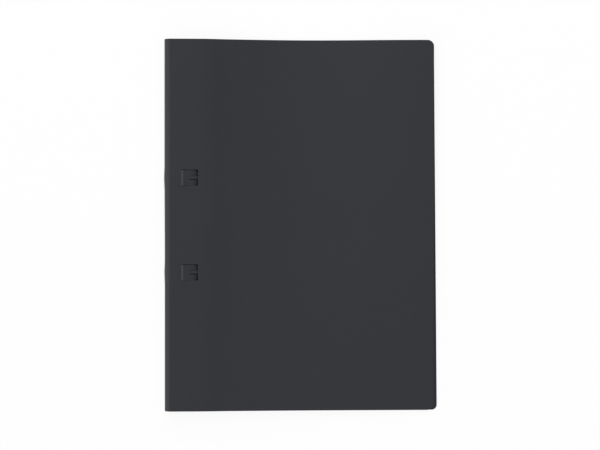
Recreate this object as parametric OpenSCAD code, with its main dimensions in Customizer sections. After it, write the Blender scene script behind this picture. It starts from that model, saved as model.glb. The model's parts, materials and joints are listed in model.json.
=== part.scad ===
// Two-hole strip binder for A4 sheets, lying closed on its back cover.
// X runs from the spine to the fore edge, +Y points to the head and +Z up through the front cover.
// The origin is on the table, under the middle of the closed binder.

/* [Cover] */
// Height of the covers, from head to tail
cover_h = 315; // [220:1:390]
// Width of the closed binder, from the outside of the spine to the fore edge
cover_w = 232.2; // [160:0.2:290]
// Thickness of the cover sheet
sheet_t = 1; // [0.8:0.05:1.25]
// Thickness of the closed binder over its half-round spine
spine_t = 12; // [10:0.5:16]
// Radius of the corners at the fore edge
corner_r = 5.5; // [1:0.5:12]
// How far the front cover stops short of the back cover's edge
front_setback = 2.8; // [0.2:0.1:4]
// Gap between the closed covers at the fore edge
fore_gap = 2.9; // [0.1:0.1:5]

/* [Folds of the cover] */
// Width of the thin web along each fold
fold_w = 1.2; // [0.9:0.1:1.6]
// Thickness of the sheet left at the fold
fold_t = 0.4; // [0.3:0.05:0.6]
// Width of the fold's channel where it opens on the inside
fold_mouth = 0.9; // [0.5:0.05:1]
// Clearance around the thin web of every fold
web_clear = 0.03; // [0.02:0.01:0.05]

/* [Windows] */
// Distance of the windows from the outside of the spine, along the cover
window_inset = 14.2; // [12:0.1:20]
// Width of a window, across the cover
window_w = 14.8; // [12:0.1:20]
// Gap between a window's edges and the edges of its strip
window_gap = 0.3; // [0.3:0.05:2]
// Thickness of a window's edge over the strip, where the sheet is thinned from below
window_lip = 0.2; // [0.15:0.05:0.4]
// Radius of a window's corners
window_r = 0.8; // [0.3:0.1:2]

/* [Binding strips] */
// Distance between the two filing holes of a sheet
hole_pitch = 80; // [60:1:120]
// Width of a strip
strip_w = 13.1; // [9:0.1:16]
// Thickness of a strip
strip_t = 0.9; // [0.7:0.05:1.1]
// Gap between a strip's upper run and the underside of the front cover
run_clear = 0.3; // [0.25:0.05:0.9]
// Angle at which a strip steps up into its window
joggle_a = 25; // [22:1:35]
// Gap between the step and the thinned edge of its window
step_clear = 0.3; // [0.25:0.05:0.4]
// Flat of the strip between the step and the crease
crease_land = 0.35; // [0.2:0.05:0.8]
// Width of the thin web at a flap's crease
crease_w = 0.9; // [0.7:0.05:1.2]
// Thickness of the web at a flap's crease
crease_t = 0.35; // [0.25:0.05:0.5]
// Width of the crease's channel where it opens underneath
crease_mouth = 0.7; // [0.4:0.05:0.8]
// Height of a strip's crease over the face of the front cover, at the window's spine side
flap_rise = 0.5; // [0.3:0.05:0.6]
// Angle at which a closed flap dips towards its post
flap_tilt = 7.5; // [5:0.5:8]
// Gap between the ends of a flap's ears and the fore side of the window
ear_gap = 0.5; // [0.45:0.05:3]
// Length over which the ears curve down
ear_turn = 5.4; // [3:0.1:6]
// Radius at which the ears curve down
ear_bend = 11; // [10:0.5:20]
// Radius of the ears' outer corners
ear_r = 1.8; // [0.5:0.1:3]
// Width of the tongue between the ears
tongue_w = 2.6; // [2:0.1:3]
// Width of the slits beside the tongue
slit_w = 0.5; // [0.4:0.05:1.2]
// Length of the slits beside the tongue
slit_l = 6.2; // [6:0.1:6.8]
// Radius of the corners at the tongue's end
tongue_r = 0.5; // [0.2:0.05:0.9]
// Clearance of a swinging flap to the fore side of its window
swing_clear = 0.45; // [0.3:0.05:0.8]

/* [Posts] */
// Outer diameter of a filing post
post_d = 5; // [4.4:0.1:5.4]
// Wall of a filing post
post_wall = 0.7; // [0.6:0.05:0.9]
// Distance of a post from the fore side of its window
post_inset = 2.95; // [2.6:0.05:4]
// Radial clearance of the peg's bead in the post
bead_clear = 0.55; // [0.45:0.05:0.7]
// Step of the bead out of the peg
bead_step = 0.2; // [0.1:0.05:0.3]
// Depth of the closed peg in its post
peg_grip = 1.4; // [1:0.1:1.6]
// Height of the cone at the root of a peg, under the tongue
peg_root = 0.6; // [0.3:0.1:0.8]
// Chamfer of the post's mouth and rim
post_chamfer = 0.2; // [0.1:0.05:0.25]
// Fillet at the root of a post
post_root = 0.4; // [0.2:0.1:0.8]

/* [Base strip] */
// Thickness of the base strip
base_t = 2; // [1.8:0.1:2.6]
// Gap between the spine's bend and the base strip
base_inset = 0.8; // [0.4:0.1:2]
// Width of the base strip past the posts' axes, towards the fore edge
base_edge = 5.5; // [4:0.5:10]
// Length of the base strip past the posts' axes, at head and tail
base_end = 20; // [14:1:40]
// Radius of the base strip's corners
base_r = 6; // [2:0.5:9]
// Length of a strip's foot under the base strip
foot_l = 9.2; // [8:0.1:11]
// Clearance of a foot in its pocket
pocket_clear = 0.05; // [0.03:0.01:0.1]
// Rim of the base strip around its recess
recess_rim = 3; // [2:0.5:5]
// Distance of the recess from the posts' axes
recess_end = 9; // [7.5:0.5:14]
// Radius of the recess's corners
recess_r = 3; // [1:0.5:5]

/* [Rivets] */
// Diameter of a rivet's shank
rivet_d = 3.2; // [2.4:0.1:4]
// Diameter of a rivet's sunk head, flush with the outside of the back cover
rivet_sunk_d = 6.2; // [5:0.1:7]
// Depth of a rivet's sunk head
rivet_sunk_t = 0.7; // [0.4:0.05:0.75]
// Diameter of a rivet's formed head, on the inside
rivet_head_d = 5.6; // [4.8:0.1:6.4]
// Height of a rivet's formed head
rivet_head_t = 0.8; // [0.5:0.05:1]
// Clearance of a rivet in its holes
rivet_clear = 0.05; // [0.03:0.01:0.1]
// Distance of the foot rivets from the spine side of the base strip
rivet_inset = 4; // [3.5:0.1:5]
// Distance of the recess rivets from the ends of the recess
rivet_edge = 13; // [5:0.5:16]

/* [Hidden] */
$fn = 64;

// Overshoot of a cutting shape past the face that it opens
over = 1;

// The half-round spine, the covers and the slope of the closed front cover
spine_r = spine_t / 2;
bend_r = spine_r - sheet_t;
back_l = cover_w - spine_r;
front_l = back_l - front_setback;
cover_slope = asin((2 * bend_r - fore_gap) / front_l);

// The folds lie halfway round the spine's two bends
fold_half = 45;
rear_a = 180 + fold_half;
front_a = 180 - fold_half;
fold_r = spine_r - fold_t / 2;
fold_reach = 2 * fold_w / fold_r * 180 / PI;
mouth_a = fold_mouth / 2 / fold_r * 180 / PI;

// Place across the closed front cover of a point at a length along it, on its face
function face_x(along) = spine_r + along * cos(cover_slope) + spine_r * sin(cover_slope);

// Height of the closed front cover over a place x: r is spine_r for its face, bend_r for its underside
function cover_z(x, r) = spine_r + r / cos(cover_slope) - (x - spine_r) * tan(cover_slope);

// The windows
window_from = window_inset - spine_r;
window_h = strip_w + 2 * window_gap;
window_x0 = face_x(window_from);
window_x1 = face_x(window_from + window_w);

// The strips: a loop against the spine, a run under the cover and a step up to the crease
strip_ys = [hole_pitch / 2, -hole_pitch / 2];
flap_z = cover_z(window_x0, spine_r) + flap_rise;
run_z = cover_z(window_x0, bend_r) - run_clear;
loop_r = (run_z - sheet_t) / 2;
loop_z = sheet_t + loop_r;
lip_z = cover_z(window_x0, spine_r) - window_lip;
joggle_x0 = window_x0 - (lip_z - step_clear / cos(joggle_a) - run_z) / tan(joggle_a);
joggle_x1 = joggle_x0 + (flap_z - run_z) / tan(joggle_a);
mitre = strip_t * tan(joggle_a / 2);
crease_x = joggle_x1 + crease_land + crease_w / 2;
crease_z = flap_z - crease_t / 2;
land_x = crease_x - crease_mouth / 2;

// The posts and the pegs that close them, which swing out through the windows
post_x = window_x1 - post_inset;
bore_r = post_d / 2 - post_wall;
bead_r = bore_r - bead_clear;
peg_r = bead_r - bead_step;
swing_r = window_x1 - crease_x - swing_clear;
peg_z = crease_z - sqrt(pow(swing_r, 2) - pow(post_x + bead_r - crease_x, 2));
post_z = peg_z + peg_grip;

// The flaps, measured from the crease along their tilt
ear_l = window_x1 - ear_gap - crease_x;
ear_from = ear_l - ear_turn;
ear_sweep = asin(ear_turn / (ear_bend - strip_t)) + 2;
slit_from = ear_l - slit_l;
slit_y = tongue_w / 2 + slit_w;
flap_drop = (strip_t - crease_t) / 2;
tongue_z = crease_z - (post_x - crease_x) * tan(flap_tilt) - flap_drop / cos(flap_tilt);

// The base strip, its recess and the rivets
base_z = sheet_t + base_t;
base_x0 = spine_r + base_inset;
base_x1 = post_x + base_edge;
base_l = hole_pitch + 2 * base_end;
recess_z = base_z - rivet_head_t;
recess_l = hole_pitch - 2 * recess_end;
foot_x1 = base_x0 + foot_l;
foot_rivet_x = base_x0 + rivet_inset;
recess_rivet_x = (base_x0 + base_x1) / 2;
recess_rivet_ys = [recess_l / 2 - rivet_edge, rivet_edge - recess_l / 2];

cover_grey = "#37383C";
strip_grey = "#3A3B3F";
base_grey = "#33343A";

// Puts shapes that are measured from the outside of the spine into the binder's frame
module from_spine() {
    translate([-cover_w / 2, 0, 0])
        children();
}

// Extrudes a profile, drawn across the binder and upwards, along the spine
module along_spine(length, y = 0) {
    translate([0, y, 0])
        rotate([90, 0, 0])
            linear_extrude(length, center = true)
                children();
}

// Part of a tube about an axis along the spine, between two angles
module curved_wall(x, z, r_in, r_out, a0, a1, length, y = 0) {
    translate([x, y, z])
        rotate([90, 0, 0])
            rotate([0, 0, a0])
                rotate_extrude(angle = a1 - a0)
                    translate([r_in, -length / 2])
                        square([r_out - r_in, length]);
}

// Puts shapes that are measured from the axis of the half-round spine into place
module about_spine() {
    translate([spine_r, 0, spine_r])
        children();
}

// Part of the sheet's half-round bend, about its axis
module spine_bend(r_in, r_out, a0, a1) {
    curved_wall(0, 0, r_in, r_out, a0, a1, cover_h);
}

// A round bar along a fold of the cover, about the spine's axis
module fold_bar(a, r, length) {
    along_spine(length)
        translate([fold_r * cos(a), fold_r * sin(a)])
            circle(r);
}

// Outline of a plate with its lower left corner at the origin and round corners
module round_plate(size, r) {
    translate([r, 0])
        square([size[0] - 2 * r, size[1]]);
    translate([0, r])
        square([size[0], size[1] - 2 * r]);
    for (x = [r, size[0] - r], y = [r, size[1] - r])
        translate([x, y])
            circle(r);
}

// Outline of a plate along X, centred on it, with round corners at its far end
module round_ended_plate(length, width, r) {
    translate([0, -width / 2])
        square([length - r, width]);
    translate([0, r - width / 2])
        square([length, width - 2 * r]);
    for (s = [-1, 1])
        translate([length - r, s * (width / 2 - r)])
            circle(r);
}

// One cover about the spine's axis: the panel with its round fore corners, and its share of the bend
module cover_and_bend(length, bend_a) {
    translate([0, 0, bend_r])
        linear_extrude(sheet_t)
            round_ended_plate(length, cover_h, corner_r);
    spine_bend(bend_r, spine_r, 90, 90 + bend_a);
}

// Everything that a rivet's hole takes away, up to a height
module rivet_hole(top) {
    r = rivet_d / 2 + rivet_clear;
    sunk_r = rivet_sunk_d / 2 + rivet_clear;
    rotate_extrude()
        polygon([
            [0, -over], [sunk_r, -over], [sunk_r, 0], [r, rivet_sunk_t], [r, top], [0, top]
        ]);
}

// Places of the rivets: one through each strip's foot, two in the recess
module at_foot_rivets() {
    for (y = strip_ys)
        translate([foot_rivet_x, y, 0])
            children();
}

module at_recess_rivets() {
    for (y = recess_rivet_ys)
        translate([recess_rivet_x, y, 0])
            children();
}

module back_cover() {
    color(cover_grey)
        from_spine()
            difference() {
                about_spine()
                    mirror([0, 0, 1])
                        cover_and_bend(back_l, fold_half - mouth_a);
                about_spine()
                    fold_bar(rear_a, fold_w / 2, cover_h + 2 * over);
                at_foot_rivets()
                    rivet_hole(base_z);
                at_recess_rivets()
                    rivet_hole(base_z);
            }
}

module spine() {
    color(cover_grey)
        from_spine()
            difference() {
                about_spine()
                    spine_bend(bend_r, spine_r, front_a + mouth_a, rear_a - mouth_a);
                about_spine()
                    fold_bar(front_a, fold_w / 2, cover_h + 2 * over);
                about_spine()
                    fold_bar(rear_a, fold_w / 2, cover_h + 2 * over);
            }
}

// The thin web that is left along a fold, at the outside of the sheet
module fold_web(a) {
    color(cover_grey)
        from_spine()
            about_spine()
                intersection() {
                    spine_bend(spine_r - fold_t, spine_r, a - fold_reach / 2, a + fold_reach / 2);
                    fold_bar(a, fold_w / 2 - web_clear, cover_h + 2 * over);
                }
}

module rear_fold() {
    fold_web(rear_a);
}

module front_fold() {
    fold_web(front_a);
}

module front_cover() {
    color(cover_grey)
        from_spine()
            difference() {
                about_spine()
                    rotate([0, cover_slope, 0])
                        cover_and_bend(front_l, fold_half + cover_slope - mouth_a);
                about_spine()
                    fold_bar(front_a, fold_w / 2, cover_h + 2 * over);
                about_spine()
                    rotate([0, cover_slope, 0])
                        for (y = strip_ys)
                            translate([window_from, y - window_h / 2, bend_r - over])
                                linear_extrude(sheet_t + 2 * over)
                                    round_plate([window_w, window_h], window_r);
                for (y = strip_ys)
                    along_spine(window_h + over, y)
                        polygon([
                            [window_x0 - (lip_z - run_z) / tan(joggle_a), run_z],
                            [window_x0 + window_r, run_z],
                            [window_x0 + window_r, lip_z],
                            [window_x0, lip_z]
                        ]);
            }
}

// Moulded strip under the sheets, with a hollow post for each filing hole
module base_strip() {
    post_r = post_d / 2;
    pocket_w = strip_w + 2 * pocket_clear;
    color(base_grey)
        from_spine()
            difference() {
                union() {
                    translate([base_x0, -base_l / 2, sheet_t])
                        linear_extrude(base_t)
                            round_plate([base_x1 - base_x0, base_l], base_r);
                    for (y = strip_ys)
                        translate([post_x, y, 0])
                            rotate_extrude()
                                polygon([
                                    [0, base_z - base_t / 2], [post_r + post_root, base_z - base_t / 2],
                                    [post_r + post_root, base_z], [post_r, base_z + post_root],
                                    [post_r, post_z - post_chamfer], [post_r - post_chamfer, post_z],
                                    [0, post_z]
                                ]);
                }
                for (y = strip_ys)
                    translate([post_x, y, 0])
                        rotate_extrude()
                            polygon([
                                [0, base_z], [bore_r, base_z], [bore_r, post_z - post_chamfer],
                                [bore_r + post_chamfer, post_z], [bore_r + post_chamfer, post_z + over],
                                [0, post_z + over]
                            ]);
                translate([base_x0 + recess_rim, -recess_l / 2, recess_z])
                    linear_extrude(rivet_head_t + over)
                        round_plate([base_x1 - base_x0 - 2 * recess_rim, recess_l], recess_r);
                for (y = strip_ys)
                    translate([base_x0 - over, y - pocket_w / 2, sheet_t - over])
                        cube([foot_l + pocket_clear + over, pocket_w, strip_t + pocket_clear + over]);
                at_foot_rivets()
                    rivet_hole(base_z + over);
                at_recess_rivets()
                    rivet_hole(base_z + over);
            }
}

// A rivet with its head sunk in the back cover, formed over at a height on the inside
module rivet(top) {
    r = rivet_d / 2;
    head_r = rivet_head_d / 2;
    rotate_extrude()
        polygon([
            [0, 0], [rivet_sunk_d / 2, 0], [r, rivet_sunk_t], [r, top], [head_r, top],
            [head_r, top + rivet_head_t / 2], [head_r - rivet_head_t / 2, top + rivet_head_t],
            [0, top + rivet_head_t]
        ]);
}

module base_rivets() {
    color(base_grey)
        from_spine() {
            at_foot_rivets()
                rivet(base_z);
            at_recess_rivets()
                rivet(recess_z);
        }
}

// A round bar along a flap's crease
module crease_bar(y, r, length) {
    along_spine(length, y)
        translate([crease_x, crease_z])
            circle(r);
}

// The fixed part of a strip: its foot, the loop against the spine and the run up to the crease
module strip_loop(y) {
    color(strip_grey)
        from_spine()
            difference() {
                union() {
                    translate([spine_r, y - strip_w / 2, sheet_t])
                        cube([foot_x1 - spine_r, strip_w, strip_t]);
                    curved_wall(spine_r, loop_z, loop_r - strip_t, loop_r, 90, 270, strip_w, y);
                    along_spine(strip_w, y)
                        polygon([
                            [spine_r, run_z], [joggle_x0, run_z], [joggle_x1, flap_z], [land_x, flap_z],
                            [land_x, flap_z - strip_t], [joggle_x1 + mitre, flap_z - strip_t],
                            [joggle_x0 + mitre, run_z - strip_t], [spine_r, run_z - strip_t]
                        ]);
                }
                crease_bar(y, crease_w / 2, strip_w + 2 * over);
                translate([foot_rivet_x, y, 0])
                    rivet_hole(base_z);
            }
}

// The thin web at a flap's crease, at the top of the strip
module strip_crease(y) {
    color(strip_grey)
        from_spine()
            intersection() {
                translate([crease_x - crease_w, y - strip_w / 2, flap_z - crease_t])
                    cube([2 * crease_w, strip_w, crease_t]);
                crease_bar(y, crease_w / 2 - web_clear, strip_w + 2 * over);
            }
}

// The part of a flap that is flat: a plate with the tongue between two slits
module flap_plate() {
    translate([0, 0, crease_t / 2 - strip_t])
        linear_extrude(strip_t)
            difference() {
                union() {
                    translate([crease_mouth / 2, -strip_w / 2])
                        square([ear_from - crease_mouth / 2, strip_w]);
                    translate([ear_from - over, 0])
                        round_ended_plate(ear_turn + over, tongue_w, tongue_r);
                }
                for (s = [-1, 1])
                    translate([slit_from, s * (slit_y - slit_w / 2)]) {
                        translate([0, -slit_w / 2])
                            square([slit_l + over, slit_w]);
                        circle(slit_w / 2);
                    }
            }
}

// The two ears, which curve down from the end of the plate and have round outer corners
module flap_ears() {
    ear_w = strip_w / 2 - slit_y + over;
    translate([0, 0, crease_t / 2 - ear_bend])
        for (s = [-1, 1])
            intersection() {
                translate([ear_from, s * (slit_y + ear_w / 2), 0])
                    mirror([1, 0, 0])
                        curved_wall(0, 0, ear_bend - strip_t, ear_bend, 90, 90 + ear_sweep, ear_w);
                linear_extrude(ear_bend + over)
                    round_ended_plate(ear_l, strip_w, ear_r);
            }
}

// The moving part of a strip: the flap, its tongue and the peg that closes the post
module strip_flap(y) {
    root_r = tongue_w / 2 - 0.05;
    root_z = tongue_z - strip_t / 2;
    color(strip_grey)
        from_spine()
            difference() {
                union() {
                    translate([crease_x, y, crease_z])
                        rotate([0, flap_tilt, 0]) {
                            flap_plate();
                            flap_ears();
                        }
                    translate([post_x, y, 0])
                        rotate_extrude()
                            polygon([
                                [0, peg_z], [peg_r / 2, peg_z], [bead_r, peg_z + bead_step * 2],
                                [bead_r, peg_z + bead_step * 3], [peg_r, peg_z + bead_step * 4],
                                [peg_r, root_z - peg_root], [root_r, root_z], [root_r, tongue_z], [0, tongue_z]
                            ]);
                }
                crease_bar(y, crease_w / 2, strip_w + 2 * over);
            }
}

module upper_strip_loop() {
    strip_loop(strip_ys[0]);
}

module upper_strip_crease() {
    strip_crease(strip_ys[0]);
}

module upper_strip_flap() {
    strip_flap(strip_ys[0]);
}

module lower_strip_loop() {
    strip_loop(strip_ys[1]);
}

module lower_strip_crease() {
    strip_crease(strip_ys[1]);
}

module lower_strip_flap() {
    strip_flap(strip_ys[1]);
}

back_cover();
rear_fold();
spine();
front_fold();
front_cover();
base_strip();
base_rivets();
upper_strip_loop();
upper_strip_crease();
upper_strip_flap();
lower_strip_loop();
lower_strip_crease();
lower_strip_flap();
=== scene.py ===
"""Looks of a two-hole strip binder: the folded cover, its two binding strips and the base strip inside.

Everything is in metres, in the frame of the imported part: +X from the spine to the fore edge, +Y to the
head, +Z up through the front cover, with the origin on the table under the middle of the closed binder.
"""

import json
import logging
import math
from contextlib import contextmanager
from dataclasses import dataclass, field
from enum import Enum
from typing import Callable, Iterator, Sequence

import bmesh
import bpy
from bmesh.types import BMEdge
from bpy.types import Material, NodeSocket, NodeTree, Object
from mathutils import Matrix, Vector


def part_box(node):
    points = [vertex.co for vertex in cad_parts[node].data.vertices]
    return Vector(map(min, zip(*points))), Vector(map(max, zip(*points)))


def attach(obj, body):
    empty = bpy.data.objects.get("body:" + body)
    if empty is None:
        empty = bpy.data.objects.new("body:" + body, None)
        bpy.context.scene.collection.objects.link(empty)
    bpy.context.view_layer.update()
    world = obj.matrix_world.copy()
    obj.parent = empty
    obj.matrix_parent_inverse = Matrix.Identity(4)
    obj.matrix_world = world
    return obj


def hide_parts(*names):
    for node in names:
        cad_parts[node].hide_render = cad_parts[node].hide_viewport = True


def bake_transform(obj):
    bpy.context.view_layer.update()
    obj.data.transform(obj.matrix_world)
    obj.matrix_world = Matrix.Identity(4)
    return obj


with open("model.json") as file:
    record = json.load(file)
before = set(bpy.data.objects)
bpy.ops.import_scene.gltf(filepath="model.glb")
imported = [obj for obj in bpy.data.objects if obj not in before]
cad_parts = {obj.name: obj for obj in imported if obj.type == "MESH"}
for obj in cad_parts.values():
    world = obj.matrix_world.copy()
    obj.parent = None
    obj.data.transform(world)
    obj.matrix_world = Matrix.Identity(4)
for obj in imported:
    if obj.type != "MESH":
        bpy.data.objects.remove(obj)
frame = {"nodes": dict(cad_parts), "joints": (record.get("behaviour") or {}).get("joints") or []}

LOG = logging.getLogger("strip_binder")
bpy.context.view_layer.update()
MM = 0.001
TINY = 0.02 * MM
WELD = 0.005 * MM
CAD_WELD = 0.001 * MM
CORNER_ANGLE = math.radians(50)
SMOOTH_ANGLE = math.radians(40)
FLAT_ANGLE = math.radians(0.5)
SEAM_ANGLE = 0.01
NOISE_MIDDLE = 0.5

Colour = tuple[float, float, float]
Point = tuple[float, float, float]


# Modelling by hand: selection, edit mode and modifiers


def only(obj: Object) -> None:
    """Selects one object, makes it the active one and leaves every other one unselected.

    Args:
        obj: The object to select.
    """
    if bpy.context.object is not None and bpy.context.object.mode != "OBJECT":
        bpy.ops.object.mode_set(mode="OBJECT")
    bpy.ops.object.select_all(action="DESELECT")
    obj.select_set(True)
    bpy.context.view_layer.objects.active = obj


@contextmanager
def editing(obj: Object) -> Iterator[None]:
    """Opens an object in edit mode, with everything in it selected, and closes it again.

    Args:
        obj: The mesh object to edit.

    Yields:
        Nothing, while the object is open.
    """
    only(obj)
    bpy.ops.object.mode_set(mode="EDIT")
    bpy.ops.mesh.select_mode(type="VERT")
    bpy.ops.mesh.select_all(action="SELECT")
    try:
        yield
    finally:
        bpy.ops.object.mode_set(mode="OBJECT")


def pick(obj: Object, kind: str, test: Callable[..., bool]) -> int:
    """Selects the vertices, edges or faces that pass a test, and nothing else. The object is in edit mode.

    Args:
        obj: The object in edit mode.
        kind: VERT, EDGE or FACE.
        test: Takes one vertex, edge or face of the mesh and says whether it is selected.

    Returns:
        How many were selected.
    """
    bpy.ops.mesh.select_mode(type=kind)
    bpy.ops.mesh.select_all(action="DESELECT")
    mesh = bmesh.from_edit_mesh(obj.data)
    chosen = [e for e in {"VERT": mesh.verts, "EDGE": mesh.edges, "FACE": mesh.faces}[kind] if test(e)]
    for element in chosen:
        element.select_set(True)
    mesh.select_flush_mode()
    bmesh.update_edit_mesh(obj.data)
    return len(chosen)


def middle(edge: BMEdge) -> Vector:
    """Gives the middle of an edge."""
    return (edge.verts[0].co + edge.verts[1].co) / 2


def is_corner(edge: BMEdge) -> bool:
    """Says whether two faces meet at an edge in a corner."""
    return len(edge.link_faces) == 2 and edge.calc_face_angle(0) > CORNER_ANGLE


def modified(obj: Object, kind: str, **settings: object) -> Object:
    """Adds a modifier to an object and applies it.

    Args:
        obj: The object to change.
        kind: The modifier's type.
        settings: The modifier's values.

    Returns:
        The same object.
    """
    only(obj)
    modifier = obj.modifiers.new(kind.title(), kind)
    for key, value in settings.items():
        setattr(modifier, key, value)
    bpy.ops.object.modifier_apply(modifier=modifier.name)
    return obj


def moved(obj: Object, place: Callable[[Vector], Vector]) -> Object:
    """Moves every vertex of an object to where a formula puts it.

    Args:
        obj: The object to change.
        place: Takes a vertex's place and gives the new one.

    Returns:
        The same object.
    """
    for vertex in obj.data.vertices:
        vertex.co = place(vertex.co.copy())
    obj.data.update()
    return obj


def settled(obj: Object, at: Point, turn: Point = (0, 0, 0)) -> Object:
    """Puts an object in place and works the place into its mesh, so that it sits at the origin.

    Args:
        obj: The object to place.
        at: Where its own origin goes.
        turn: Its turn about X, Y and Z.

    Returns:
        The same object.
    """
    only(obj)
    obj.location = at
    obj.rotation_euler = turn
    bpy.ops.object.transform_apply(location=True, rotation=True, scale=True)
    return obj


def flat_sheet(name: str, low: tuple[float, float], high: tuple[float, float], z: float) -> Object:
    """Adds a flat rectangle, facing up.

    Args:
        name: The new object's name.
        low: Its lowest x and y.
        high: Its highest x and y.
        z: Its height.

    Returns:
        The new object.
    """
    size = (high[0] - low[0], high[1] - low[1])
    at = ((low[0] + high[0]) / 2, (low[1] + high[1]) / 2, z)
    bpy.ops.object.select_all(action="DESELECT")
    bpy.ops.mesh.primitive_plane_add(size=1, location=at)
    obj = bpy.context.object
    obj.name = obj.data.name = name
    obj.scale = (size[0], size[1], 1)
    bpy.ops.object.transform_apply(location=True, rotation=True, scale=True)
    return obj


def line_along(name: str, x: float, z: float, length: float, cuts: int) -> Object:
    """Adds a line along Y, even about y = 0, to be spun into a wall.

    Args:
        name: The new object's name.
        x: Its place across the binder.
        z: Its height.
        length: Its length.
        cuts: How many points divide it.

    Returns:
        The new object.
    """
    half = length / 2
    obj = flat_sheet(name, (x - length, -half), (x, half), z)
    with editing(obj):
        pick(obj, "VERT", lambda v: v.co.x < x - half)
        bpy.ops.mesh.delete(type="VERT")
        if cuts:
            bpy.ops.mesh.select_all(action="SELECT")
            bpy.ops.mesh.subdivide(number_cuts=cuts)
    return obj


def divide(xs: Sequence[float], ys: Sequence[float]) -> None:
    """Cuts the object in edit mode along straight lines.

    Args:
        xs: The places of the lines along Y.
        ys: The places of the lines along X.
    """
    for values, normal in ((xs, (1, 0, 0)), (ys, (0, 1, 0))):
        for value in values:
            bpy.ops.mesh.select_all(action="SELECT")
            bpy.ops.mesh.bisect(plane_co=[value * n for n in normal], plane_no=normal)


def eased(share: float) -> float:
    """Gives a smooth step: 0 up to a share of 0, 1 from a share of 1, and level at both ends."""
    share = min(1.0, max(0.0, share))
    return share * share * (3 - 2 * share)


def rows(low: float, high: float, count: int) -> list[float]:
    """Gives the places that divide a length into equal rows, without its ends."""
    return [low + (high - low) * i / count for i in range(1, count)]


def weld() -> None:
    """Merges the doubles of the object in edit mode and turns its faces to one side."""
    bpy.ops.mesh.select_all(action="SELECT")
    bpy.ops.mesh.remove_doubles(threshold=WELD)
    bpy.ops.mesh.select_all(action="SELECT")
    bpy.ops.mesh.normals_make_consistent(inside=False)


def thickened(obj: Object, thickness: float) -> Object:
    """Merges a sheet's doubles, turns its faces to its outer side and gives it a wall on the inside.

    Args:
        obj: A sheet whose first face already points outwards.
        thickness: The wall's thickness.

    Returns:
        The same object.
    """
    facing = obj.data.polygons[0].normal.copy()
    with editing(obj):
        weld()
    if obj.data.polygons[0].normal.dot(facing) < 0:
        with editing(obj):
            bpy.ops.mesh.flip_normals()
    settings = {"offset": -1, "use_even_offset": True, "use_quality_normals": True}
    return modified(obj, "SOLIDIFY", thickness=thickness, **settings)


def cut(obj: Object, *cutters: Object) -> Object:
    """Cuts other shapes out of an object and removes them.

    Args:
        obj: The object to change.
        cutters: The closed shapes to cut out.

    Returns:
        The changed object.
    """
    for cutter in cutters:
        modified(obj, "BOOLEAN", object=cutter, operation="DIFFERENCE", solver="EXACT")
        bpy.data.objects.remove(cutter)
    return obj


def block(low: Point, high: Point) -> Object:
    """Adds a block, as the start of a cutter.

    Args:
        low: Its lowest corner.
        high: Its highest corner.

    Returns:
        The new object.
    """
    bpy.ops.object.select_all(action="DESELECT")
    bpy.ops.mesh.primitive_cube_add(size=1, location=[(a + b) / 2 for a, b in zip(low, high)])
    obj = bpy.context.object
    obj.scale = [b - a for a, b in zip(low, high)]
    bpy.ops.object.transform_apply(location=True, rotation=True, scale=True)
    return obj


def wedge(low: Point, high: Point, tip_x: float) -> Object:
    """Adds a block with a slanted side, from its lowest edge at low x up to its top at a place across it.

    Args:
        low: Its lowest corner.
        high: Its highest corner.
        tip_x: Where the slanted side reaches the top.

    Returns:
        The new object.
    """
    obj = block(low, high)
    with editing(obj):
        pick(obj, "VERT", lambda v: v.co.x < low[0] + TINY and v.co.z > high[2] - TINY)
        bpy.ops.transform.translate(value=(tip_x - low[0], 0, 0))
    return obj


def is_upright(edge: BMEdge) -> bool:
    """Says whether an edge rises by more than a hair."""
    return abs(edge.verts[0].co.z - edge.verts[1].co.z) > TINY


def rounded_block(low: Point, high: Point, low_r: float, high_r: float, segments: int = 6) -> Object:
    """Adds a block with its upright edges rounded, as a cutter.

    Args:
        low: Its lowest corner.
        high: Its highest corner.
        low_r: The radius of its upright edges at low x.
        high_r: The radius of those at high x.
        segments: How many faces round each edge.

    Returns:
        The new object.
    """
    obj = block(low, high)
    half_way = (low[0] + high[0]) / 2
    for radius, side in ((low_r, -1), (high_r, 1)):
        with editing(obj):
            pick(obj, "EDGE", lambda e: is_upright(e) and (middle(e).x - half_way) * side > 0)
            bpy.ops.mesh.bevel(offset=radius, segments=segments, affect="EDGES")
    return obj


def turned(name: str, profile: Sequence[tuple[float, float]], steps: int = 32) -> Object:
    """Spins a profile about the Z axis into a closed round shape.

    Args:
        name: The new object's name.
        profile: Radius and height of each point, from the axis at the bottom to the axis at the top.
        steps: How many faces go round it.

    Returns:
        The new object.
    """
    start_l = MM
    obj = line_along(name, *profile[0], start_l, 0)
    with editing(obj):
        pick(obj, "VERT", lambda v: v.co.y < 0)
        bpy.ops.mesh.delete(type="VERT")
        bpy.ops.mesh.select_all(action="SELECT")
        bpy.ops.transform.translate(value=(0, -start_l / 2, 0))
        for (r0, z0), (r1, z1) in zip(profile, profile[1:]):
            bpy.ops.mesh.extrude_vertices_move(TRANSFORM_OT_translate={"value": (r1 - r0, 0, z1 - z0)})
        bpy.ops.mesh.select_all(action="SELECT")
        bpy.ops.mesh.spin(steps=steps, angle=2 * math.pi, center=(0, 0, 0), axis=(0, 0, 1))
        weld()
    return obj


def nowhere(co: Vector) -> bool:
    """Says no for every point."""
    return False


def shaded(obj: Object) -> Object:
    """Shades a piece smoothly, with its flat faces left flat.

    Args:
        obj: The piece.

    Returns:
        The same object.
    """
    only(obj)
    bpy.ops.object.shade_smooth()
    return modified(obj, "WEIGHTED_NORMAL", mode="FACE_AREA", weight=100, keep_sharp=False)


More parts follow.
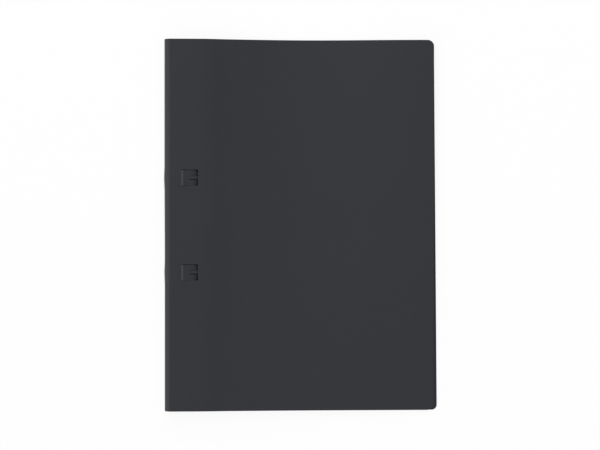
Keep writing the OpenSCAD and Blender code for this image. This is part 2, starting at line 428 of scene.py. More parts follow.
def softened(
    obj: Object, width: float, keep: Callable[[Vector], bool] = nowhere, segments: int = 2
) -> Object:
    """Rounds the sharp edges of a piece a little.

    Args:
        obj: The piece.
        width: How wide the rounding is.
        keep: Says whether an edge with that middle stays sharp, such as a joint with a neighbour.
        segments: How many faces round each edge.

    Returns:
        The same object.
    """
    with editing(obj):
        if pick(obj, "EDGE", lambda e: is_corner(e) and not keep(middle(e))):
            bpy.ops.mesh.bevel(offset=width, segments=segments, affect="EDGES", clamp_overlap=True)
    return obj


# Finishes


def node_value(tree: NodeTree, operation: str, *inputs: object) -> NodeSocket:
    """Adds a math node and gives its output.

    Args:
        tree: The tree to add to.
        operation: What it does.
        inputs: A socket or a number for each of its inputs.

    Returns:
        The node's output socket.
    """
    node = tree.nodes.new("ShaderNodeMath")
    node.operation = operation
    for socket, value in zip(node.inputs, inputs):
        if isinstance(value, NodeSocket):
            tree.links.new(value, socket)
        else:
            socket.default_value = value
    return node.outputs[0]


def noise(tree: NodeTree, vector: NodeSocket, scale: object, detail: float) -> NodeSocket:
    """Adds a noise texture and gives its value.

    Args:
        tree: The tree to add to.
        vector: Where the texture is read.
        scale: Cells to a metre, as a socket or a number.
        detail: How many finer layers it has.

    Returns:
        The noise, from 0 to 1.
    """
    node = tree.nodes.new("ShaderNodeTexNoise")
    node.inputs["Detail"].default_value = detail
    tree.links.new(vector, node.inputs["Vector"])
    if isinstance(scale, NodeSocket):
        tree.links.new(scale, node.inputs["Scale"])
    else:
        node.inputs["Scale"].default_value = scale
    return node.outputs[0]


@dataclass(frozen=True)
class PlasticSurface:
    """The node group that every plastic shares: grain, slow unevenness of tone, and faint rubbing.

    Attributes:
        name: The group's name.
        grain_detail: Finer layers of the grain.
        patch: Patches of uneven tone to a metre.
        patch_detail: Finer layers of the patches.
        patch_matte: How much rougher the lightest patches are.
        rub: Rubbed streaks to a metre, across and along.
        rub_turn: How far the streaks are turned from the binder's height.
        rub_detail: Finer layers of the streaks.
        rub_from: Noise above which a streak shows.
        rub_gloss: How much smoother a streak is.
    """

    name: str = "plastic_surface"
    grain_detail: float = 2.0
    patch: float = 14.0
    patch_detail: float = 3.0
    patch_matte: float = 0.12
    rub: tuple[float, float] = (700.0, 45.0)
    rub_turn: float = math.radians(24)
    rub_detail: float = 1.0
    rub_from: float = 0.62
    rub_gloss: float = 0.25

    def group(self) -> NodeTree:
        """Builds the group once.

        Returns:
            The group, which gives colour, roughness and height over the surface.
        """
        if self.name in bpy.data.node_groups:
            return bpy.data.node_groups[self.name]
        tree = bpy.data.node_groups.new(self.name, "ShaderNodeTree")
        for title, kind in (
            ("Place", "NodeSocketVector"),
            ("Colour", "NodeSocketColor"),
            ("Roughness", "NodeSocketFloat"),
            ("Grain", "NodeSocketFloat"),
            ("Unevenness", "NodeSocketFloat"),
            ("Rubbing", "NodeSocketFloat"),
        ):
            tree.interface.new_socket(title, in_out="INPUT", socket_type=kind)
        for title, kind in (
            ("Colour", "NodeSocketColor"),
            ("Roughness", "NodeSocketFloat"),
            ("Height", "NodeSocketFloat"),
        ):
            tree.interface.new_socket(title, in_out="OUTPUT", socket_type=kind)
        given = tree.nodes.new("NodeGroupInput").outputs
        result = tree.nodes.new("NodeGroupOutput").inputs
        place = given["Place"]

        fine = noise(tree, place, given["Grain"], self.grain_detail)
        tree.links.new(fine, result["Height"])

        patches = noise(tree, place, self.patch, self.patch_detail)
        offset = node_value(tree, "SUBTRACT", patches, NOISE_MIDDLE)
        tone = node_value(tree, "MULTIPLY_ADD", offset, given["Unevenness"], 1.0)

        stretch = tree.nodes.new("ShaderNodeMapping")
        stretch.inputs["Scale"].default_value = (self.rub[0], self.rub[1], self.rub[0])
        stretch.inputs["Rotation"].default_value = (0, 0, self.rub_turn)
        tree.links.new(place, stretch.inputs["Vector"])
        streaks = noise(tree, stretch.outputs[0], 1.0, self.rub_detail)
        strong = node_value(tree, "SUBTRACT", streaks, self.rub_from)
        streak = node_value(tree, "MAXIMUM", strong, 0.0)
        worn = node_value(tree, "MULTIPLY", streak, given["Rubbing"])
        tone = node_value(tree, "ADD", tone, worn)

        shade = tree.nodes.new("ShaderNodeVectorMath")
        shade.operation = "SCALE"
        tree.links.new(given["Colour"], shade.inputs[0])
        tree.links.new(tone, shade.inputs["Scale"])
        tree.links.new(shade.outputs[0], result["Colour"])

        spread = node_value(tree, "MULTIPLY_ADD", offset, self.patch_matte, given["Roughness"])
        spread = node_value(tree, "MULTIPLY_ADD", worn, -self.rub_gloss, spread)
        tree.links.new(spread, result["Roughness"])
        return tree


@dataclass(frozen=True)
class PlasticFinish:
    """One plastic of the binder.

    Attributes:
        name: The material's name.
        slot: The record's material slot. Not used.
        colour: Its linear colour.
        roughness: How matte it is.
        grain: Grains to a metre.
        depth: How deep the grain looks.
        unevenness: How much its tone varies in patches.
        rubbing: How much rubbed streaks show.
        relief: Height of the grain at full depth.
        ior: Its refractive index.
        gloss: How strongly it mirrors, where 0.5 is all that its refractive index gives.
    """

    name: str
    slot: str
    colour: Colour
    roughness: float
    grain: float
    depth: float
    unevenness: float
    rubbing: float
    relief: float = 0.12 * MM
    ior: float = 1.45
    gloss: float = 0.3

    def material(self) -> Material:
        """Builds the material once.

        Returns:
            The material.
        """
        if self.name in bpy.data.materials:
            return bpy.data.materials[self.name]
        material = bpy.data.materials.new(self.name)
        material.use_nodes = True
        tree = material.node_tree
        shader = tree.nodes["Principled BSDF"]
        shader.inputs["IOR"].default_value = self.ior
        shader.inputs["Specular IOR Level"].default_value = self.gloss
        surface = tree.nodes.new("ShaderNodeGroup")
        surface.node_tree = PlasticSurface().group()
        surface.inputs["Colour"].default_value = (*self.colour, 1)
        surface.inputs["Roughness"].default_value = self.roughness
        surface.inputs["Grain"].default_value = self.grain
        surface.inputs["Unevenness"].default_value = self.unevenness
        surface.inputs["Rubbing"].default_value = self.rubbing
        place = tree.nodes.new("ShaderNodeTexCoord")
        bump = tree.nodes.new("ShaderNodeBump")
        bump.inputs["Strength"].default_value = self.depth
        bump.inputs["Distance"].default_value = self.relief
        tree.links.new(place.outputs["Object"], surface.inputs["Place"])
        tree.links.new(surface.outputs["Colour"], shader.inputs["Base Color"])
        tree.links.new(surface.outputs["Roughness"], shader.inputs["Roughness"])
        tree.links.new(surface.outputs["Height"], bump.inputs["Height"])
        tree.links.new(bump.outputs["Normal"], shader.inputs["Normal"])
        return material


COVER_SHEET = PlasticFinish(
    name="grained_cover_plastic", slot="cover_sheet", colour=(0.0248, 0.0263, 0.0323),
    roughness=0.32, grain=2600, depth=0.9, unevenness=0.05, rubbing=0.5,
)
BINDING_STRIP = PlasticFinish(
    name="satin_strip_plastic", slot="binding_strip", colour=(0.0252, 0.0267, 0.0327),
    roughness=0.30, grain=3200, depth=0.25, unevenness=0.04, rubbing=0.3,
)
BASE_MOULDING = PlasticFinish(
    name="moulded_base_plastic", slot="base_moulding", colour=(0.0215, 0.0228, 0.0280),
    roughness=0.35, grain=1500, depth=0.3, unevenness=0.05, rubbing=0.2,
)


@dataclass(frozen=True)
class Bend:
    """A piece that bends across a joint.

    Attributes:
        body: The body that it follows before the start.
        other: The body that it follows after the end.
        start: Where it begins to turn. Not used.
        end: Where it has turned all the way. Not used.
    """

    body: str
    other: str
    start: Point
    end: Point


def finished(obj: Object, node: str, finish: PlasticFinish, follows: str | Bend) -> Object:
    """Dresses a piece, names it after its CAD node, hides that node and joins the piece to its body, or,
    for a piece that bends, works its place into its mesh.

    Args:
        obj: The modelled piece.
        node: The CAD node that it stands for.
        finish: Its plastic.
        follows: The body that it rides on, or the bodies on either side of the joint that it bends across,
            which are only logged.

    Returns:
        The same object.
    """
    obj.name = obj.data.name = node + "_skin"
    obj.data.materials.clear()
    obj.data.materials.append(finish.material())
    if isinstance(follows, Bend):
        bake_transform(obj)
        how = f"bends between {follows.body} and {follows.other}"
    else:
        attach(obj, follows)
        how = f"rides on {follows}"
    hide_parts(node)
    LOG.info("%s: %d faces, %s", obj.name, len(obj.data.polygons), how)
    return obj


# The binder's pieces


@dataclass
class CoverSheet:
    """The folded sheet: back cover, spine and front cover, with a thin web along each of the two folds.

    Attributes:
        height: Height from head to tail.
        thickness: Thickness of the sheet.
        spine_r: Outer radius of the half-round spine.
        cover_bend: Angle of the bend between a flat cover and its fold.
        skin: How far the sheet's faces stand inside the size that the frame gives.
        back_l: Length of the back cover's flat, from the end of the bend.
        front_l: Length of the front cover's flat.
        fore_gap: Gap between the covers at the fore edge.
        corner_r: Radius of the front cover's fore corners.
        back_corner_r: Radius of the back cover's fore corners.
        fold_t: Thickness of the web at a fold.
        fold_w: Width of the web at a fold.
        edge: Rounding of the cut edges.
        window_from: Start of the windows, from the end of the bend.
        window_w: Width of a window.
        window_h: Height of a window.
        window_r: Radius of a window's fore corners.
        window_spine_r: Radius of a window's corners on the side of the spine.
        window_lip: Thickness of a window's spine-side edge, which is thinned from below.
        window_shift: How much nearer the head the windows sit than the strips in them.
        wedge_depth: Depth of the wedge that thins a window's edge, in thicknesses of the sheet.
        step_angle: Angle of the strip's step, which the thinned edge follows.
        pitch: Distance between the windows.
        skew: How much shorter the back cover is at the head than at the tail.
        head_sag: How deep the front cover hangs at the head, midway across.
        tail_sag: How deep the front cover hangs at the tail, past midway.
        fore_sag: How deep it hangs at the tail's fore corner.
        deepest: Share of the front cover's length at which its tail hangs deepest.
        rise_from: Share of that length from which the tail rises again.
        flat_to: Length of the front cover that the strips hold flat, from the end of the bend.
        spine_dip: How far the spine's back stands in, between the strips.
        spine_lean: How much further it stands in at the tail than at the head.
        lean_from: Where it begins to do so, above the middle and in shares of the pitch.
        strip_reach: Half the height over which a strip presses the spine out.
        strip_hold: Half the height over which the spine's inner face stays clear of a strip.
        corner_steps: Faces round a corner of a cover.
        flat_rows: Rows of faces on a cover's flat, across and along the binder.
        bend_rows: Rows of faces round a cover's share of the bend.
        arc_rows: Rows of faces to a radian of the spine, and the least round a fold.
        spine_rows: Rows of faces along the spine.
        fold_rows: Rows of faces along a fold.
        axis: The spine's axis.
        wall: Thickness of the modelled wall.
        slope: Slope of the front cover.
        seam: Half the angle of a fold's web.
        front_fold_at: Angle of the front fold about the axis, seen from the tail.
        rear_fold_at: Angle of the rear fold.
    """

    height: float = 315 * MM
    thickness: float = 1.0 * MM
    spine_r: float = 6.0 * MM
    cover_bend: float = math.radians(45)
    skin: float = 0.01 * MM
    back_l: float = 226.2 * MM
    front_l: float = 223.4 * MM
    fore_gap: float = 2.9 * MM
    corner_r: float = 5.5 * MM
    back_corner_r: float = 4.4 * MM
    fold_t: float = 0.4 * MM
    fold_w: float = 1.2 * MM
    edge: float = 0.12 * MM
    window_from: float = 8.5 * MM
    window_w: float = 14.5 * MM
    window_h: float = 13.54 * MM
    window_r: float = 0.8 * MM
    window_spine_r: float = 0.15 * MM
    window_lip: float = 0.16 * MM
    window_shift: float = 0.14 * MM
    wedge_depth: float = 1.3
    step_angle: float = math.radians(20.3)
    pitch: float = 80 * MM
    skew: float = 2.4 * MM
    head_sag: float = 6.1 * MM
    tail_sag: float = 2.6 * MM
    fore_sag: float = 2.5 * MM
    deepest: float = 0.65
    rise_from: float = 0.7
    flat_to: float = 24 * MM
    spine_dip: float = 0.34 * MM
    spine_lean: float = 0.28 * MM
    lean_from: float = 0.6
    strip_reach: float = 11 * MM
    strip_hold: float = 8 * MM
    corner_steps: int = 10
    flat_rows: tuple[int, int] = (36, 28)
    bend_rows: int = 14
    arc_rows: tuple[int, int] = (16, 8)
    spine_rows: int = 120
    fold_rows: int = 24
    axis: Point = field(init=False)
    wall: float = field(init=False)
    slope: float = field(init=False)
    seam: float = field(init=False)
    front_fold_at: float = field(init=False)
    rear_fold_at: float = field(init=False)

    def __post_init__(self) -> None:
        """Works out the sizes and places that follow from the others."""
        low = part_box("spine")[0]
        self.axis = (low.x + self.spine_r, 0.0, self.spine_r)
        self.wall = self.thickness - 2 * self.skin
        self.slope = math.asin((2 * (self.spine_r - self.thickness) - self.fore_gap) / self.front_l)
        self.seam = (self.fold_w / 2 - TINY) / (self.spine_r - self.fold_t / 2)
        self.front_fold_at = math.radians(90) + self.cover_bend
        self.rear_fold_at = math.radians(270) - self.cover_bend

    def on_spine(self, angle: float) -> Point:
        """Gives the point midway through a fold's web at an angle about the axis, seen from the tail."""
        r = self.spine_r - self.fold_t / 2
        return (self.axis[0] + r * math.cos(angle), 0.0, self.axis[2] + r * math.sin(angle))

    def panel(self, name: str, length: float, bend: float, corner_r: float) -> Object:
        """Models one cover's outer face about the spine's axis: the flat and its share of the bend.

        Args:
            name: The new object's name.
            length: Length of the flat.
            bend: Angle of its share of the bend.
            corner_r: Radius of its fore corners.

        Returns:
            An open sheet that faces up.
        """
        half = self.height / 2 - 2 * self.skin
        length -= 2 * self.skin
        sheet = flat_sheet(name, (0, -half), (length, half), self.spine_r - self.skin)
        with editing(sheet):
            pick(sheet, "VERT", lambda v: v.co.x > length - TINY)
            bpy.ops.mesh.bevel(offset=corner_r, segments=self.corner_steps, affect="VERTICES")
            divide(rows(0, length, self.flat_rows[0]), rows(-half, half, self.flat_rows[1]))
            pick(sheet, "EDGE", lambda e: all(abs(v.co.x) < TINY for v in e.verts))
            bpy.ops.mesh.spin(steps=self.bend_rows, angle=bend, center=(0, 0, 0), axis=(0, 1, 0))
        return sheet

    def sag(self, co: Vector) -> Vector:
        """Lets the front cover hang: midway across at the head, and to the fore edge at the tail.

        Args:
            co: A point of the cover, about the spine's axis.

        Returns:
            Where that point hangs.
        """
        if co.x <= self.flat_to:
            return co
        along = co.x / self.front_l
        start = eased((co.x - self.flat_to) / self.flat_to)
        head = self.head_sag * math.sin(math.pi * along) ** 2
        tail = self.tail_sag * math.sin(math.pi / 2 * min(1.0, along / self.deepest))
        rise = max(0.0, (along - self.rise_from) / (1 - self.rise_from))
        tail -= (self.tail_sag - self.fore_sag) * rise
        to_head = co.y / self.height + 1 / 2
        return Vector((co.x, co.y, co.z - start * (to_head * head + (1 - to_head) * tail)))

    def skewed(self, co: Vector) -> Vector:
        """Shortens the back cover towards its head, which lies at low y until the cover is turned over.

        Args:
            co: A point of the cover, about the spine's axis.

        Returns:
            Where that point goes.
        """
        if co.x <= 0:
            return co
        to_head = 1 / 2 - co.y / self.height
        return Vector((co.x * (1 - to_head * self.skew / self.back_l), co.y, co.z))

    def stays_sharp(self, bend: float) -> Callable[[Vector], bool]:
        """Gives the test for a cover's edges that stay sharp.

        Args:
            bend: Angle of the cover's share of the bend.

        Returns:
            A test of an edge's middle.
        """

        def test(co: Vector) -> bool:
            """Says whether a point lies where the bend meets a fold, or on a window's thin edge."""
            seam = co.x < 0 and abs(math.atan2(co.z, co.x) - math.pi / 2 - bend) < SEAM_ANGLE
            return seam or abs(co.x - self.window_from) < TINY

        return test

    def window(self, y: float) -> list[Object]:
        """Gives the shapes that one window takes out of the front cover.

        Args:
            y: The window's place along the spine.

        Returns:
            The window itself, and the wedge that thins its spine-side edge from below.
        """
        y += self.window_shift
        half = self.window_h / 2
        low = (self.window_from, y - half, self.spine_r - 2 * self.thickness)
        high = (self.window_from + self.window_w, y + half, self.spine_r + self.thickness)
        hole = rounded_block(low, high, self.window_spine_r, self.window_r)
        under = self.spine_r - self.wedge_depth * self.thickness
        tip = self.spine_r - self.window_lip
        length = (tip - under) / math.tan(self.step_angle + self.slope)
        half += self.thickness / 2
        low = (self.window_from - length, y - half, under)
        high = (self.window_from + 2 * self.window_spine_r, y + half, tip)
        return [hole, wedge(low, high, self.window_from)]

    def front(self) -> None:
        """Models the front cover, with its windows."""
        bend = self.cover_bend + self.slope - self.seam
        cover = self.panel("front_cover", self.front_l, bend, self.corner_r)
        thickened(moved(cover, self.sag), self.wall)
        for y in (self.pitch / 2, -self.pitch / 2):
            cut(cover, *self.window(y))
        shaded(softened(cover, self.edge, self.stays_sharp(bend)))
        settled(cover, self.axis, (0, self.slope, 0))
        finished(cover, "front_cover", COVER_SHEET, "front")

    def back(self) -> None:
        """Models the back cover, with the holes of the rivets."""
        bend = self.cover_bend - self.seam
        cover = self.panel("back_cover", self.back_l, bend, self.back_corner_r)
        thickened(moved(cover, self.skewed), self.wall)
        shaded(softened(cover, self.edge, self.stays_sharp(bend)))
        settled(cover, self.axis, (math.pi, 0, 0))
        cut(cover, *BaseRivets().cutters())
        finished(cover, "back_cover", COVER_SHEET, "back")

    def pressed(self, co: Vector) -> Vector:
        """Sets the spine's back in a little, with its inner face left clear of the strips.

        Args:
            co: A point of the spine's wall.

        Returns:
            Where that point is pressed to.
        """
        arm = co - Vector(self.axis)
        across = max(0.0, math.cos(2 * math.atan2(arm.z, arm.x)))
        beside = abs(abs(co.y) - self.pitch / 2)
        lean = eased(self.lean_from - co.y / self.pitch)
        dip = self.spine_dip * eased(beside / self.strip_reach) + self.spine_lean * lean
        if arm.xz.length < self.spine_r - self.thickness / 2:
            dip *= eased((beside - self.strip_hold) / self.strip_reach)
        return co + Vector((dip * across, 0, 0))

    def swept(self, name: str, start: float, turn: float, thickness: float, rows_along: int) -> Object:
        """Models a length of the spine's wall.

        Args:
            name: The new object's name.
            start: The angle that it starts at, seen from the tail.
            turn: The angle that it goes round.
            thickness: Its thickness.
            rows_along: How many rows of faces it has from tail to head.

        Returns:
            A closed wall.
        """
        r = self.spine_r - self.skin
        x = self.axis[0] + r * math.cos(start)
        z = self.axis[2] + r * math.sin(start)
        wall = line_along(name, x, z, self.height - 4 * self.skin, rows_along - 1)
        steps = max(self.arc_rows[1], round(turn * self.arc_rows[0]))
        with editing(wall):
            bpy.ops.mesh.select_all(action="SELECT")
            bpy.ops.mesh.spin(steps=steps, angle=turn, center=self.axis, axis=(0, 1, 0))
        facing = wall.data.polygons[0]
        if facing.normal.dot(facing.center - Vector(self.axis)) < 0:
            with editing(wall):
                bpy.ops.mesh.flip_normals()
        return moved(thickened(wall, thickness), self.pressed)

    def spine(self) -> None:
        """Models the spine's back."""
        start = self.front_fold_at + self.seam
        turn = self.rear_fold_at - self.seam - start
        wall = self.swept("spine", start, turn, self.wall, self.spine_rows)
        half = self.height / 2
        shaded(softened(wall, self.edge, lambda co: abs(co.y) < half - self.edge))
        finished(wall, "spine", COVER_SHEET, "spine")

    def fold(self, node: str, middle_angle: float, body: str, other: str) -> None:
        """Models the thin web along one fold.

        Args:
            node: The CAD node that it stands for.
            middle_angle: The angle of the fold, seen from the tail.
            body: The body on the side of the smaller angles.
            other: The body on the side of the larger angles.
        """
        web = self.swept(node, middle_angle - self.seam, 2 * self.seam, self.fold_t, self.fold_rows)
        ends = [self.on_spine(middle_angle + s * self.seam) for s in (-1, 1)]
        finished(shaded(web), node, COVER_SHEET, Bend(body, other, *ends))

    def build(self) -> None:
        """Models the whole sheet."""
        self.back()
        self.spine()
        self.front()
        self.fold("front_fold", self.front_fold_at, "front", "spine")
        self.fold("rear_fold", self.rear_fold_at, "spine", "back")


@dataclass
class BaseRivets:
    """The four rivets that hold the base strip and the strips' feet to the back cover.

    Attributes:
        shank_r: Radius of a shank.
        sunk_r: Radius of a sunk head, flush with the outside of the back cover.
        sunk_t: Depth of a sunk head.
        head_r: Radius of a formed head.
        head_t: Height of a formed head.
        head_shape: Outline of a formed head, in shares of its radius and its height.
        clearance: Clearance of a rivet in its holes.
        edge: Rounding of its edges.
        own: Radius within which the frame's points belong to one rivet.
        cut_l: How far the cutter of a hole goes to both sides of the table's level.
    """

    shank_r: float = 1.6 * MM
    sunk_r: float = 3.1 * MM
    sunk_t: float = 0.7 * MM
    head_r: float = 2.8 * MM
    head_t: float = 0.8 * MM
    head_shape: tuple[tuple[float, float], ...] = ((1, 0), (1, 1 / 2), (5 / 6, 0.85), (1 / 2, 1), (0, 1))
    clearance: float = 0.05 * MM
    edge: float = 0.08 * MM
    own: float = 7.75 * MM
    cut_l: float = 3.5 * MM

    def places(self) -> list[tuple[Point, float]]:
        """Finds the rivets in the frame.

        Returns:
            For each rivet, the point of its axis at the table and the height of its head's underside.
        """
        points = [vertex.co for vertex in frame["nodes"]["base_rivets"].data.vertices]
        starts: list[Vector] = []
        for point in points:
            if not any((point.xy - start).length < self.own for start in starts):
                starts.append(point.xy.copy())
        places = []
        for start in starts:
            own = [point for point in points if (point.xy - start).length < self.own]
            x, y = ((min(p[i] for p in own) + max(p[i] for p in own)) / 2 for i in (0, 1))
            places.append(((x, y, 0.0), max(p.z for p in own) - self.head_t))
        return places

    def cutters(self) -> list[Object]:
        """Models what the rivets' holes take out of the back cover.

        Returns:
            A shape for each rivet.
        """
        r = self.shank_r + self.clearance
        sunk = self.sunk_r + self.clearance
        low = [(0, -self.cut_l), (sunk, -self.cut_l), (sunk, 0)]
        high = [(r, self.sunk_t), (r, self.cut_l), (0, self.cut_l)]
        return [settled(turned("rivet_hole", low + high), at) for at, _ in self.places()]

    def build(self) -> None:
        """Models the rivets. The two that also hold the strips' feet are longer."""
        rivets = []
        for at, top in self.places():
            shank = [(0, 0), (self.sunk_r, 0), (self.shank_r, self.sunk_t), (self.shank_r, top)]
            head = [(r * self.head_r, top + h * self.head_t) for r, h in self.head_shape]
            rivets.append(settled(turned("rivet", shank + head), at))
        only(rivets[0])
        for rivet in rivets[1:]:
            rivet.select_set(True)
        bpy.ops.object.join()
        piece = shaded(softened(rivets[0], self.edge))
        finished(piece, "base_rivets", BASE_MOULDING, "back")


def clean_copy(node: str) -> Object:
    """Copies a CAD node's shape and joins its loose triangles into clean faces.

    Args:
        node: The CAD node.

    Returns:
        The new object.
    """
    copy = frame["nodes"][node].copy()
    copy.data = copy.data.copy()
    for key in [k for k in copy.keys() if k.startswith("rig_")]:
        del copy[key]
    copy.parent = None
    bpy.context.scene.collection.objects.link(copy)
    with editing(copy):
        bpy.ops.mesh.remove_doubles(threshold=CAD_WELD)
        bpy.ops.mesh.select_all(action="SELECT")
        bpy.ops.mesh.customdata_custom_splitnormals_clear()
        bpy.ops.mesh.dissolve_limited(angle_limit=FLAT_ANGLE)
    return copy


class Side(Enum):
    """The two binding strips, by their ends of the binder."""

    UPPER = "upper"
    LOWER = "lower"


@dataclass
class BindingStrip:
    """One binding strip: the loop, the crease and the flap that closes its post.

    Attributes:
        side: Which of the two strips it is.
        width: Its width.
        crease_w: Width of the thin web at the crease.
        crease_t: Thickness of that web.
        crease_rows: Rows of faces across it.
        crease_hold: Share of its width over which it bends.
        edge: Rounding of its edges.
        reach: How much further the flap's end reaches towards the window's edge than the frame's.
        end_l: Length of the flap's end that is drawn out for this.
        tongue_w: Width of the flap's tongue, between its two ears.
        tongue_shift: How much nearer the head the tongue and the slit below it lie than the frame's.
        slit_w: Width of the slits beside the tongue, in the frame.
        ear_l: Length over which the ears bend down.
        ear_rise: How much less than the frame's they have turned down about the crease at their ends.
        ear_power: How late along the ears that shows.
        step_l: Length of the step, from its foot to the crease.
        step_draw: How much further back the step's foot lies than the frame's.
    """

    side: Side
    width: float = 13.1 * MM
    crease_w: float = 0.85 * MM
    crease_t: float = 0.35 * MM
    crease_rows: int = 8
    crease_hold: float = 0.9
    edge: float = 0.10 * MM
    reach: float = 0.3 * MM
    end_l: float = 1.0 * MM
    tongue_w: float = 2.6 * MM
    tongue_shift: float = 0.3 * MM
    slit_w: float = 0.5 * MM
    ear_l: float = 5.4 * MM
    ear_rise: float = math.radians(1.3)
    ear_power: float = 1.5
    step_l: float = 4.56 * MM
    step_draw: float = 1.0 * MM

    def hinge(self) -> Vector:
        """Gives the crease's axis, from the frame."""
        name = f"{self.side.value}_strip_hinge"
        return Vector(next(j["pos_m"] for j in frame["joints"] if j["name"] == name))

    def flap(self) -> None:
        """Models the flap, with its end drawn out, its tongue shifted and its ears bent a little less."""
        node = f"{self.side.value}_strip_flap"
        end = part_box(node)[1].x
        crease = self.hinge()

        def relaxed(co: Vector) -> Vector:
            """Gives the place of a point of the flap.

            Args:
                co: Where the point lies in the frame.

            Returns:
                Where it lies in the piece.
            """
            along = max(0.0, (co.x - end + self.ear_l) / self.ear_l)
            arm = co - crease
            arm.x += self.reach * max(0.0, (co.x - end + self.end_l) / self.end_l)
            past_tongue = abs(arm.y) - self.tongue_w / 2
            past_slit = past_tongue - (self.slit_w if arm.y < 0 else 0)
            arm.y += self.tongue_shift * (1 - eased(past_slit / self.slit_w))
            if past_tongue > TINY:
                turn = self.ear_rise * along ** self.ear_power
                c, s = math.cos(turn), math.sin(turn)
                arm = Vector((arm.x * c - arm.z * s, arm.y, arm.x * s + arm.z * c))
            return crease + arm

        plate = shaded(moved(softened(clean_copy(node), self.edge), relaxed))
        finished(plate, node, BINDING_STRIP, f"{self.side.value}_flap")

    def crease(self) -> None:
        """Models the web at the crease, between the loop and the flap."""
        at = self.hinge()
        half = self.crease_w / 2
        low = (at.x - half, at.y - self.width / 2)
        high = (at.x + half, at.y + self.width / 2)
        web = flat_sheet("crease", low, high, at.z + self.crease_t / 2)
        with editing(web):
            divide(rows(low[0], high[0], self.crease_rows), [])
        thickened(web, self.crease_t)
        only(web)
        bpy.ops.object.shade_smooth_by_angle(angle=SMOOTH_ANGLE)
        body = f"{self.side.value}_flap"
        ends = [(at.x + s * half * self.crease_hold, at.y, at.z) for s in (-1, 1)]
        finished(web, f"{self.side.value}_strip_crease", BINDING_STRIP, Bend("back", body, *ends))

    def loop(self) -> None:
        """Models the loop, with the foot of its step drawn back under the window's thinned edge."""
        node = f"{self.side.value}_strip_loop"
        crease = self.hinge()
        foot_x = crease.x - self.step_l
        near = self.step_l / 10

        def drawn_back(co: Vector) -> Vector:
            """Draws back a point of the step's foot."""
            at_foot = abs(co.x - foot_x) < near and crease.z - co.z < self.step_l
            return co - Vector((self.step_draw if at_foot else 0, 0, 0))

        run = shaded(moved(softened(clean_copy(node), self.edge), drawn_back))
        finished(run, node, BINDING_STRIP, "back")

    def build(self) -> None:
        """Models the strip."""
        self.loop()
        self.flap()
        self.crease()


@dataclass
class BaseStrip:
    """The moulded strip inside, with a hollow post for each filing hole.

    Attributes:
        edge: Rounding of its edges.
    """

    edge: float = 0.2 * MM

    def build(self) -> None:
        """Models the base strip."""
        base = shaded(softened(clean_copy("base_strip"), self.edge))
        finished(base, "base_strip", BASE_MOULDING, "back")


# The studio


@dataclass(frozen=True)
class Lamp:
    """One soft lamp.

    Attributes:
        name: The lamp's name.
        at: Where it stands.
        aim: Where it points.
        size: The side of its square.
        power: Its power in watts.
    """

    name: str
    at: Point
    aim: Point
    size: float
    power: float

    def build(self) -> None:
        """Adds the lamp."""
        data = bpy.data.lights.new(self.name, "AREA")
        data.shape = "SQUARE"
        data.size = self.size
        data.energy = self.power
        lamp = bpy.data.objects.new(self.name, data)
        lamp.location = self.at
        lamp.rotation_euler = (Vector(self.aim) - Vector(self.at)).to_track_quat("-Z", "Y").to_euler()
        bpy.context.scene.collection.objects.link(lamp)


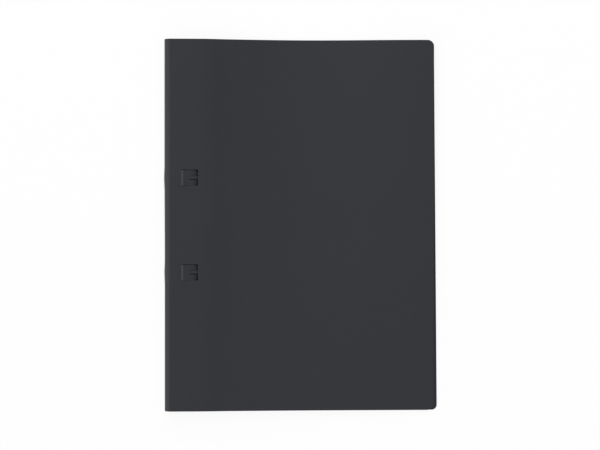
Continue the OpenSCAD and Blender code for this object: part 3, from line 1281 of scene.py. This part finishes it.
@dataclass
class Studio:
    """A white table under soft light, with a camera straight above the binder.

    Attributes:
        camera_at: Where the camera stands.
        view_w: Width of the picture at the height of the spine's crest.
        crest: Height of the spine's crest.
        floor_size: Side of the table.
        floor_tone: Grey of the table.
        floor_white: Share of plain white in what is seen of the table, over its own light and shadow.
        ambient: Strength of the light from the ceiling.
        bright: Direction of the studio's bright side.
        sides: Light from the dark side, over the ceiling and down the bright side, to that of the ceiling.
        lamp: The lamp beyond the head of the binder.
        sensor: Width of the camera's sensor, in millimetres.
        sight: The nearest and the farthest that the camera sees.
    """

    camera_at: Point = (-0.65 * MM, 0.1 * MM, 1012 * MM)
    view_w: float = 506.5 * MM
    crest: float = 12 * MM
    floor_size: float = 12.0
    floor_tone: float = 0.95
    floor_white: float = 0.88
    ambient: float = 0.712
    bright: Point = (-0.97, 0.24, 0.0)
    sides: tuple[tuple[float, float], ...] = (
        (-0.9, 0.3), (-0.42, 1.0), (0.18, 1.0), (0.5, 2.1), (0.8, 2.6), (1.0, 1.3),
    )
    lamp: Lamp = Lamp(name="head_light", at=(-0.2, 1.3, 1.0), aim=(0, 0, 0), size=0.9, power=4.2)
    sensor: float = 36
    sight: tuple[float, float] = (0.01, 50)

    def camera(self) -> None:
        """Adds the camera, looking straight down with the head of the binder up."""
        data = bpy.data.cameras.new("camera")
        data.sensor_width = self.sensor
        data.lens = self.sensor * (self.camera_at[2] - self.crest) / self.view_w
        data.clip_start, data.clip_end = self.sight
        camera = bpy.data.objects.new("camera", data)
        camera.location = self.camera_at
        bpy.context.scene.collection.objects.link(camera)
        bpy.context.scene.camera = camera

    def floor(self) -> None:
        """Adds the white table, which keeps the binder's shadow."""
        half = self.floor_size / 2
        table = flat_sheet("table", (-half, -half), (half, half), -TINY)
        material = bpy.data.materials.new("white_table")
        material.use_nodes = True
        tree = material.node_tree
        tree.nodes.clear()
        out = tree.nodes.new("ShaderNodeOutputMaterial")
        matte = tree.nodes.new("ShaderNodeBsdfDiffuse")
        matte.inputs["Color"].default_value = (self.floor_tone,) * 3 + (1,)
        white = tree.nodes.new("ShaderNodeEmission")
        ray = tree.nodes.new("ShaderNodeLightPath").outputs
        seen = node_value(tree, "MAXIMUM", ray["Is Camera Ray"], ray["Is Glossy Ray"])
        seen = node_value(tree, "MAXIMUM", seen, ray["Is Transmission Ray"])
        share = node_value(tree, "MULTIPLY", seen, self.floor_white)
        mix = tree.nodes.new("ShaderNodeMixShader")
        tree.links.new(share, mix.inputs[0])
        tree.links.new(matte.outputs[0], mix.inputs[1])
        tree.links.new(white.outputs[0], mix.inputs[2])
        tree.links.new(mix.outputs[0], out.inputs["Surface"])
        table.data.materials.append(material)

    def world(self) -> None:
        """Sets the light all round: an even ceiling, a bright side and a dark one, seen as plain white."""
        world = bpy.data.worlds.new("studio")
        world.use_nodes = True
        tree = world.node_tree
        sky = tree.nodes["Background"]
        sky.inputs["Color"].default_value = (1, 1, 1, 1)
        towards = tree.nodes.new("ShaderNodeTexCoord").outputs["Generated"]
        facing = tree.nodes.new("ShaderNodeVectorMath")
        facing.operation = "DOT_PRODUCT"
        tree.links.new(towards, facing.inputs[0])
        facing.inputs[1].default_value = self.bright
        level = self.ambient * self.sides[0][1]
        for (from_at, from_level), (to_at, to_level) in zip(self.sides, self.sides[1:]):
            rise = tree.nodes.new("ShaderNodeMapRange")
            rise.interpolation_type = "SMOOTHSTEP"
            tree.links.new(facing.outputs["Value"], rise.inputs["Value"])
            rise.inputs["From Min"].default_value = from_at
            rise.inputs["From Max"].default_value = to_at
            rise.inputs["To Min"].default_value = 0
            rise.inputs["To Max"].default_value = self.ambient * (to_level - from_level)
            level = node_value(tree, "ADD", level, rise.outputs[0])
        ray = tree.nodes.new("ShaderNodeLightPath").outputs
        seen = node_value(tree, "MAXIMUM", ray["Is Camera Ray"], ray["Is Transmission Ray"])
        white = tree.nodes.new("ShaderNodeMix")
        tree.links.new(seen, white.inputs["Factor"])
        tree.links.new(level, white.inputs["A"])
        white.inputs["B"].default_value = 1
        tree.links.new(white.outputs["Result"], sky.inputs["Strength"])
        bpy.context.scene.world = world

    def build(self) -> None:
        """Sets up the table, the light and the camera."""
        bpy.context.scene.view_settings.view_transform = "Standard"
        self.world()
        self.floor()
        self.lamp.build()
        self.camera()


def main() -> None:
    """Builds the binder and its studio."""
    logging.basicConfig(level=logging.INFO, format="%(name)s %(message)s")
    CoverSheet().build()
    BaseRivets().build()
    BaseStrip().build()
    for side in Side:
        BindingStrip(side).build()
    Studio().build()


if __name__ == "__main__":
    main()
